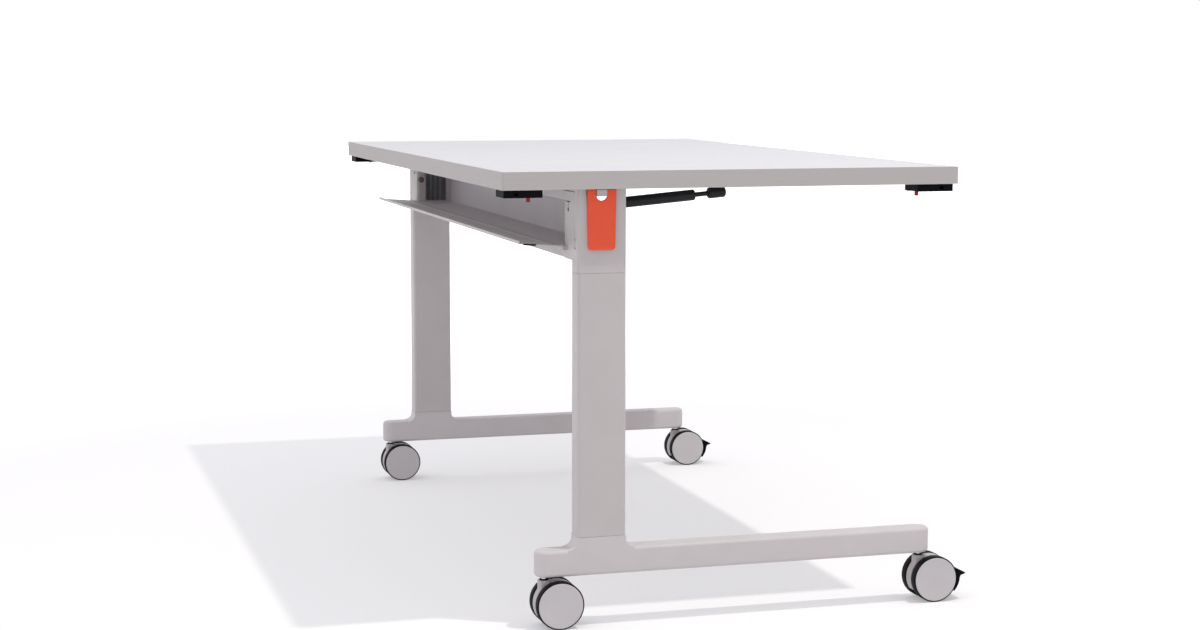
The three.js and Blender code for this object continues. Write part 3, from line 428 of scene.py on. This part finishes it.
# Materials
MATERIALS = {
    "laminate": laminate("white_laminate"),
    "edge": edging("edge_strip"),
    "paint": grained(
        "powder_paint", PAINT, SATIN, (PAINT_CLOUDS, PAINT_MOTTLE), (PAINT_GRAIN, MIDDLE),
    ),
    "head_paint_and_cavity_shade": head_paint_and_cavity_shade("cast_head_paint_and_painted_cavity_shade"),
    # The trough's paint, with painted light in its lighter tone
    "sheet_paint_and_painted_light": grained(
        "sheet_paint_and_painted_light", SHEET_PAINT_AND_PAINTED_LIGHT, SATIN, (PAINT_CLOUDS, PAINT_MOTTLE), (PAINT_GRAIN, MIDDLE),
    ),
    # The feet's paint, with painted light in its lighter tone
    "foot_paint_and_painted_light": grained("cast_foot_paint_and_painted_light", FOOT_PAINT_AND_PAINTED_LIGHT, SATIN, (18.0, PAINT_MOTTLE), (900.0, MIDDLE)),
    "steel": brushed("drawn_steel", tone(190, 190, 194), (0.22, 0.38), (900.0, 900.0, 900.0)),
    "chrome": brushed("bright_steel", tone(214, 214, 218), (0.08, 0.2), (60.0, 60.0, 1500.0)),
    "bronze": brushed("bronze_bush", tone(142, 118, 104), (0.3, 0.5), (1500.0, 300.0, 300.0)),
    "black_metal": grained(
        "black_enamel", tone(31, 31, 34), (0.34, 0.46), (40.0, 0.1), (1300.0, FINE), specular=0.18,
    ),
    "black_plastic": grained(
        "black_plastic", tone(17, 18, 21), (0.5, 0.62), (60.0, 0.1), (2200.0, FINE), specular=0.04,
    ),
    "rubber": grained(
        "black_rubber", tone(18, 18, 20), (0.7, 0.85), (80.0, 0.15), (2600.0, COARSE), specular=0.08,
    ),
    "tyre": grained(
        "tyre_rubber", tone(18, 17, 20), (0.5, 0.68), (70.0, 0.15), (2000.0, COARSE), specular=0.10,
    ),
    "cover": grained("wheel_cover", tone(208, 204, 205), (0.4, 0.52), (30.0, 0.015), (1800.0, FINE)),
    "hood": grained("hood_plastic", tone(190, 186, 188), (0.4, 0.55), (40.0, 0.03), (1800.0, COARSE)),
    "orange": grained(
        "orange_plastic", tone(248, 91, 56), (0.36, 0.48), (40.0, 0.025), (2000.0, FINE), specular=0.35,
    ),
    "red": grained(
        "red_plastic", tone(176, 28, 26), (0.35, 0.5), (80.0, 0.05), (2400.0, FINE), specular=0.4,
    ),
}

# Finish of each node: its name's start, its material and its edge rounding in millimetres
FINISHES = [
    ("table_top", "laminate", 0.0),
    ("edge_band", "edge", 0.7),
    ("crossbeam", "paint", 2.0),
    ("cable_trough", "sheet_paint_and_painted_light", 0.5),
    ("upper_rail", "paint", 1.0),
    ("trough_door", "paint", 0.5),
    ("door_hinge_rod", "steel", 0.3),
    ("gas_spring_cylinder", "black_metal", 0.0),
    ("gas_spring_rod", "black_metal", 0.0),
    ("gas_spring_bracket", "black_metal", 0.6),
    ("gas_spring_stud", "steel", 0.4),
    ("leg_head", "head_paint_and_cavity_shade", 1.2),
    ("hinge_arm", "paint", 0.3),
    ("hinge_pin", "steel", 0.5),
    ("release_paddle", "orange", 0.9),
    ("paddle_pin", "steel", 0.3),
    ("latch_spring", "steel", 0.2),
    ("stop_pad", "rubber", 0.5),
    ("column", "paint", 0.4),
    ("foot", "foot_paint_and_painted_light", 0.5),
    ("link_block", "black_plastic", 0.8),
    ("link_slider", "red", 0.5),
    ("caster_stem", "chrome", 0.5),
    ("caster_hood", "hood", 1.0),
    ("caster_axle", "steel", 0.3),
    ("brake_lever", "black_plastic", 0.8),
    ("wheel", "tyre", 0.0),
]


# Modifiers that round and shade a node without touching its mesh
def shading_group(name, limit):
    group = bpy.data.node_groups.new(name, "GeometryNodeTree")
    group.interface.new_socket("Geometry", in_out="INPUT", socket_type="NodeSocketGeometry")
    group.interface.new_socket("Geometry", in_out="OUTPUT", socket_type="NodeSocketGeometry")
    start = group.nodes.new("NodeGroupInput")
    end = group.nodes.new("NodeGroupOutput")
    strip = group.nodes.new("GeometryNodeRemoveAttribute")
    strip.inputs["Name"].default_value = "custom_normal"
    faces = group.nodes.new("GeometryNodeSetShadeSmooth")
    faces.domain = "FACE"
    edges = group.nodes.new("GeometryNodeSetShadeSmooth")
    edges.domain = "EDGE"
    angle = group.nodes.new("GeometryNodeInputMeshEdgeAngle")
    flat = group.nodes.new("FunctionNodeCompare")
    flat.data_type = "FLOAT"
    flat.operation = "LESS_THAN"
    flat.inputs["B"].default_value = math.radians(limit)
    group.links.new(start.outputs[0], strip.inputs["Geometry"])
    group.links.new(strip.outputs["Geometry"], faces.inputs["Geometry"])
    group.links.new(faces.outputs["Geometry"], edges.inputs["Geometry"])
    group.links.new(angle.outputs["Unsigned Angle"], flat.inputs["A"])
    group.links.new(flat.outputs["Result"], edges.inputs["Shade Smooth"])
    group.links.new(edges.outputs["Geometry"], end.inputs[0])
    return group


SMOOTH_GROUP = shading_group("smooth_by_angle", SHARP_ANGLE)


def shade_by_angle(obj):
    shade = obj.modifiers.new("shade", "NODES")
    shade.node_group = SMOOTH_GROUP


def soften(obj, rounding):
    weld = obj.modifiers.new("weld", "WELD")
    weld.merge_threshold = WELD_DISTANCE * MM
    if rounding > 0:
        flatten = obj.modifiers.new("flatten", "DECIMATE")
        flatten.decimate_type = "DISSOLVE"
        flatten.angle_limit = math.radians(FLAT_ANGLE)
        edge = obj.modifiers.new("edge", "BEVEL")
        edge.width = rounding * MM
        edge.segments = EDGE_SEGMENTS
        edge.limit_method = "ANGLE"
        edge.angle_limit = math.radians(SHARP_ANGLE)
        edge.use_clamp_overlap = True
    shade_by_angle(obj)
    weigh = obj.modifiers.new("weigh", "WEIGHTED_NORMAL")
    weigh.keep_sharp = True


def finish_nodes():
    for start, material, rounding in FINISHES:
        for name, obj in NODES.items():
            if name.startswith(start):
                obj.data.materials[0] = MATERIALS[material]
                soften(obj, rounding)


# Mesh pieces of the scene
def piece(name, bm, body, slot, *materials):
    mesh = bpy.data.meshes.new(name)
    bmesh.ops.recalc_face_normals(bm, faces=bm.faces)
    bm.to_mesh(mesh)
    bm.free()
    obj = bpy.data.objects.new(name, mesh)
    bpy.context.scene.collection.objects.link(obj)
    for material in materials:
        mesh.materials.append(MATERIALS[material])
    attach(obj, body)
    return obj


def along(axis):
    """A turn that takes +Z to the given direction."""
    return Vector((0, 0, 1)).rotation_difference(Vector(axis).normalized()).to_matrix().to_4x4()


def lathe(bm, centre, axis, profile, sides):
    """Adds a closed turned body. Profile rows are (along, radius, material), in millimetres."""
    turn = Matrix.Translation(Vector(centre)) @ along(axis)
    rings = []
    for reach, radius, _ in profile:
        if radius == 0:
            rings.append([bm.verts.new(turn @ Vector((0, 0, reach * MM)))])
            continue
        ring = []
        for step in range(sides):
            angle = 2 * math.pi * step / sides
            corner = Vector((radius * math.cos(angle), radius * math.sin(angle), reach)) * MM
            ring.append(bm.verts.new(turn @ corner))
        rings.append(ring)
    for first, second, (_, _, material) in zip(rings, rings[1:], profile):
        join_rings(bm, first, second, material)


def join_rings(bm, first, second, material):
    sides = max(len(first), len(second))
    for step in range(sides):
        after = (step + 1) % sides
        if len(first) == 1:
            corners = [first[0], second[step], second[after]]
        elif len(second) == 1:
            corners = [first[step], first[after], second[0]]
        else:
            corners = [first[step], first[after], second[after], second[step]]
        face = bm.faces.new(corners)
        face.material_index = material
        face.smooth = True


# Wheels: a round tyre with a pale cover disc set in a thin groove
WHEEL_PROFILE = [
    (23.0, 0.0, 0),
    (23.0, 4.7, 0),
    (9.4, 4.7, 0),
    (9.4, 31.0, 0),
    (9.6, 34.5, 0),
    (10.2, 36.5, 0),
    (11.4, 37.8, 0),
    (13.2, 38.5, 0),
    (25.2, 38.5, 0),
    (26.1, 38.2, 0),
    (26.5, 37.6, 0),
    (26.5, 36.9, 0),
    (26.2, 36.6, 0),
    (25.8, 36.5, 0),
    (25.8, 36.3, 1),
    (26.6, 36.2, 1),
    (26.9, 35.9, 1),
    (27.0, 35.3, 1),
    (27.0, 33.6, 1),
    (26.8, 32.2, 1),
    (26.7, 16.0, 1),
    (26.7, 0.0, 1),
]


def make_wheel(place, hand, sign):
    node = f"wheel_{place}_{hand}"
    low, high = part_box(node)
    inner_reach = WHEEL_INNER * MM
    middle = (low + high) / 2
    middle.x = low.x - inner_reach if sign > 0 else high.x + inner_reach
    bm = bmesh.new()
    lathe(bm, middle, (sign, 0, 0), WHEEL_PROFILE, WHEEL_SIDES)
    wheel = piece(f"twin_{node}", bm, node, "tyre", "tyre", "cover")
    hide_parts(node)
    shade_by_angle(wheel)


# Small fittings
def spot(x, y, z):
    """A place of the part's drawing, given in millimetres and returned in metres."""
    return Vector((x, y + SHIFT_Y, z)) * MM


def fitting(name, body, slot, centre, axis, profile, materials):
    bm = bmesh.new()
    lathe(bm, centre, axis, profile, FITTING_SIDES)
    bmesh.ops.remove_doubles(bm, verts=bm.verts, dist=JOIN_DISTANCE * MM)
    shade_by_angle(piece(name, bm, body, slot, *materials))


def pan_head(radius, height):
    """Profile of a domed screw head with a round socket."""
    return [
        (0.0, 0.0, 0),
        (0.0, radius, 0),
        (height * 0.45, radius, 0),
        (height * 0.8, radius * 0.86, 0),
        (height, radius * 0.62, 0),
        (height, radius * 0.42, 0),
        (height * 0.35, radius * 0.36, 0),
        (height * 0.35, 0.0, 0),
    ]


# Turned outlines of the fittings, in rows as the lathe takes them
BUSH_PROFILE = [
    (0.0, 0.0, 0),
    (0.0, 9.2, 0),
    (1.2, 9.2, 0),
    (1.8, 8.6, 0),
    (1.8, 6.4, 0),
    (1.4, 6.2, 1),
    (2.4, 6.0, 1),
    (2.9, 5.3, 1),
    (2.9, 2.6, 1),
    (1.9, 2.3, 1),
    (1.9, 0.0, 1),
]

BACK_PLUG_PROFILE = [
    (0.0, 0.0, 0),
    (0.0, 2.7, 0),
    (5.0, 2.7, 0),
    (5.4, 2.3, 0),
    (5.4, 0.0, 0),
]

DARK_RING_PROFILE = [
    (0.0, 5.7, 0),
    (0.0, 7.0, 0),
    (0.4, 7.3, 0),
    (1.6, 7.3, 0),
    (2.0, 7.0, 0),
    (2.0, 5.7, 0),
    (0.0, 5.7, 0),
]

SLEEVE_PROFILE = [
    (0.0, 3.1, 0),
    (0.0, 3.6, 0),
    (0.3, 3.9, 0),
    (21.4, 3.9, 0),
    (21.4, 3.1, 0),
    (0.0, 3.1, 0),
]


def make_leg_fittings(leg, side):
    bush = spot(side * HEAD_INNER, BOLT_Y, BOLT_Z)
    finishes = ("cover", "bronze")
    fitting(f"head_bush_{leg}", "base", "steel", bush, (-side, 0, 0), BUSH_PROFILE, finishes)
    plug = spot(side * BACK_PLUG_X, HEAD_BACK_Y - BACK_PLUG_DEPTH, BACK_PLUG_Z)
    fitting(f"back_plug_{leg}", "base", "rubber", plug, (0, 1, 0), BACK_PLUG_PROFILE, ("rubber",))
    for number, (x, y) in enumerate(FLANGE_SCREWS):
        place = spot(side * x, y, FLANGE_UNDER)
        name = f"flange_screw_{leg}_{number}"
        fitting(name, "top", "steel", place, (0, 0, -1), pan_head(*FLANGE_SCREW_HEAD), ("steel",))


def make_corner_fittings(place, side, end):
    for number, y in enumerate(LINK_SCREWS_Y):
        centre = spot(side * LINK_SCREW_X, end * y, LINK_UNDER)
        name = f"link_screw_{place}_{number}"
        fitting(name, "top", "steel", centre, (0, 0, -1), pan_head(*LINK_SCREW_HEAD), ("steel",))
    # A dark rubber ring round each caster's stem, on top of its boss
    centre = spot(side * STEM_X, STEM_Y[end], BOSS_TOP + RING_GAP)
    body = f"caster_{place}"
    fitting(f"stem_dark_ring_{place}", body, "rubber", centre, (0, 0, 1), DARK_RING_PROFILE, ("rubber",))


def make_bracket_screws():
    for number, y in enumerate(BRACKET_SCREWS_Y):
        centre = spot(BRACKET_SCREW_X, y, BRACKET_UNDER)
        name = f"bracket_screw_{number}"
        fitting(name, "top", "steel", centre, (0, 0, -1), pan_head(*BRACKET_SCREW_HEAD), ("steel",))


def make_rod_sleeve():
    """A dark sleeve on the gas spring's rod, between the cylinder's mouth and the socket."""
    tip = spot(SPRING_X, *SPRING_TIP)
    line = (tip - spot(SPRING_X, *SPRING_BASE)).normalized()
    start = tip - line * (ROD_FROM_TIP - SLEEVE_GAP) * MM
    fitting("rod_sleeve", "spring_rod", "black_metal", start, line, SLEEVE_PROFILE, ("black_metal",))


def prism(bm, first, second, matrix):
    """A body between two matching outlines of corners, in millimetres."""
    rings = []
    for corners in (first, second):
        rings.append([bm.verts.new(matrix @ (Vector(corner) * MM)) for corner in corners])
    bm.faces.new(rings[0])
    bm.faces.new(rings[1])
    for step, corner in enumerate(rings[0]):
        after = (step + 1) % len(rings[0])
        bm.faces.new([corner, rings[0][after], rings[1][after], rings[1][step]])


# Outlines of the door's trim, on the door's own axes
BEAD_OUTLINE = [(19, 3.62), (25, 3.62), (23.4, 4.7), (20.6, 4.7)]
BEAD_END = 588
PLUG_OUTLINE = [(590, 1.9), (590, 0.7), (598, 0.7), (598, 3.4), (596.2, 3.4), (596.2, 1.9)]
PLUG_REACH = (46, 66)
PLUG_ROUNDING = 0.4


def make_door_trim():
    """A stiffening bead along the door and a black plug on each of its ends."""
    tilt = Matrix.Rotation(math.radians(DOOR_OPEN_ANGLE), 4, "X")
    on_door = Matrix.Translation(spot(0, DOOR_AXIS_Y, DOOR_AXIS_Z)) @ tilt
    bead = bmesh.new()
    ends = [[(end, y, z) for y, z in BEAD_OUTLINE] for end in (-BEAD_END, BEAD_END)]
    prism(bead, *ends, on_door)
    piece("door_bead", bead, "door", "grey_paint", "paint")
    for leg, side in LEGS.items():
        plug = bmesh.new()
        ends = [[(side * x, y, z) for x, z in PLUG_OUTLINE] for y in PLUG_REACH]
        prism(plug, *ends, on_door)
        rounding = {"offset": PLUG_ROUNDING * MM, "segments": PLUG_SEGMENTS, "affect": "EDGES"}
        bmesh.ops.bevel(plug, geom=plug.edges[:], **rounding)
        piece(f"door_plug_{leg}", plug, "door", "rubber", "rubber")


# Stage, light and camera
def make_floor():
    mesh = bpy.data.meshes.new("floor")
    half = FLOOR_SIZE / 2
    corners = [(-half, -half, 0), (half, -half, 0), (half, half, 0), (-half, half, 0)]
    mesh.from_pydata(corners, [], [(0, 1, 2, 3)])
    floor = bpy.data.objects.new("floor", mesh)
    bpy.context.scene.collection.objects.link(floor)
    material = bpy.data.materials.new("pale_floor")
    nodes = Nodes(material)
    matt = nodes.add("BsdfDiffuse")
    matt.inputs["Color"].default_value = (FLOOR_COLOUR, FLOOR_COLOUR, FLOOR_COLOUR, 1)
    glow = nodes.add("Emission")
    shown = nodes.add("Math", operation="MULTIPLY")
    nodes.link(seen_directly(nodes), shown.inputs[0])
    nodes.link(floor_glow(nodes), shown.inputs[1])
    nodes.link(shown.outputs[0], glow.inputs["Strength"])
    both = nodes.add("AddShader")
    nodes.link(matt.outputs[0], both.inputs[0])
    nodes.link(glow.outputs[0], both.inputs[1])
    output = nodes.add("OutputMaterial")
    nodes.link(both.outputs[0], output.inputs["Surface"])
    mesh.materials.append(material)


def floor_glow(nodes):
    """Low round the table, where its shadow falls, and rising to white further out."""
    length = nodes.add("VectorMath", operation="LENGTH")
    nodes.link(nodes.add("TexCoord").outputs["Object"], length.inputs[0])
    rise = nodes.add("MapRange", interpolation_type="SMOOTHSTEP")
    rise.inputs["From Min"].default_value = GLOW_NEAR
    rise.inputs["From Max"].default_value = GLOW_FAR
    rise.inputs["To Min"].default_value = FLOOR_GLOW
    rise.inputs["To Max"].default_value = 1.0
    nodes.link(length.outputs["Value"], rise.inputs["Value"])
    return rise.outputs["Result"]


def seen_directly(nodes):
    """1 for rays from the camera, or by way of metal and glass, and 0 for others."""
    path = nodes.add("LightPath")
    total = path.outputs["Is Camera Ray"]
    for extra in ("Is Glossy Ray", "Is Transmission Ray"):
        larger = nodes.add("Math", operation="MAXIMUM")
        nodes.link(total, larger.inputs[0])
        nodes.link(path.outputs[extra], larger.inputs[1])
        total = larger.outputs[0]
    return total


def make_world():
    world = bpy.data.worlds.new("surround")
    bpy.context.scene.world = world
    nodes = Nodes(world)
    even = nodes.add("Background")
    towards = nodes.add("VectorMath", operation="DOT_PRODUCT")
    nodes.link(nodes.add("TexCoord").outputs["Generated"], towards.inputs[0])
    towards.inputs[1].default_value = BRIGHTER_SIDE
    tilt = nodes.add("MapRange")
    tilt.inputs["From Min"].default_value = -1.0
    tilt.inputs["From Max"].default_value = 1.0
    tilt.inputs["To Min"].default_value = SURROUND - SURROUND_TILT
    tilt.inputs["To Max"].default_value = SURROUND + SURROUND_TILT
    nodes.link(towards.outputs["Value"], tilt.inputs["Value"])
    nodes.link(tilt.outputs["Result"], even.inputs["Strength"])
    tints = [(NEAR_STRENGTH, NEAR_TINT), (FAR_STRENGTH, FAR_TINT)]
    nodes.link(ramp(nodes, tilt.outputs["Result"], tints), even.inputs["Color"])
    white = nodes.add("Background")
    white.inputs["Color"].default_value = (1, 1, 1, 1)
    mix = nodes.add("MixShader")
    nodes.link(seen_directly(nodes), mix.inputs[0])
    nodes.link(even.outputs[0], mix.inputs[1])
    nodes.link(white.outputs[0], mix.inputs[2])
    output = nodes.add("OutputWorld")
    nodes.link(mix.outputs[0], output.inputs["Surface"])


def make_lamp():
    data = bpy.data.lights.new("key_lamp", "AREA")
    data.shape = "DISK"
    data.size = LAMP_SIZE
    data.energy = LAMP_POWER
    data.color = LAMP_COLOUR
    lamp = bpy.data.objects.new("key_lamp", data)
    lamp.location = LAMP_PLACE
    ray = LAMP_AIM - LAMP_PLACE
    lamp.rotation_euler = ray.to_track_quat("-Z", "Y").to_euler()
    bpy.context.scene.collection.objects.link(lamp)


def make_camera():
    data = bpy.data.cameras.new("camera")
    data.sensor_fit = "HORIZONTAL"
    data.sensor_width = SENSOR_WIDTH
    data.lens = CAMERA_LENS
    camera = bpy.data.objects.new("camera", data)
    yaw = math.radians(CAMERA_YAW)
    pitch = math.radians(CAMERA_PITCH)
    roll = math.radians(CAMERA_ROLL)
    ahead = Vector((math.cos(pitch) * math.cos(yaw), -math.cos(pitch) * math.sin(yaw), -math.sin(pitch)))
    right = ahead.cross(Vector((0, 0, 1))).normalized()
    up = right.cross(ahead)
    tilted_right = right * math.cos(roll) + up * math.sin(roll)
    tilted_up = up * math.cos(roll) - right * math.sin(roll)
    turn = Matrix((tilted_right, tilted_up, -ahead)).transposed()
    camera.matrix_world = Matrix.Translation(CAMERA_PLACE) @ turn.to_4x4()
    bpy.context.scene.collection.objects.link(camera)
    bpy.context.scene.camera = camera


make_camera()
make_lamp()
make_world()
make_floor()
finish_nodes()
for place in PLACES:
    for hand, sign in HANDS.items():
        make_wheel(place, hand, sign)
for leg, side in LEGS.items():
    make_leg_fittings(leg, side)
    make_corner_fittings(f"back_{leg}", side, 1)
    make_corner_fittings(f"front_{leg}", side, -1)
make_bracket_screws()
make_rod_sleeve()
make_door_trim()

bpy.context.scene.view_settings.view_transform = "Standard"
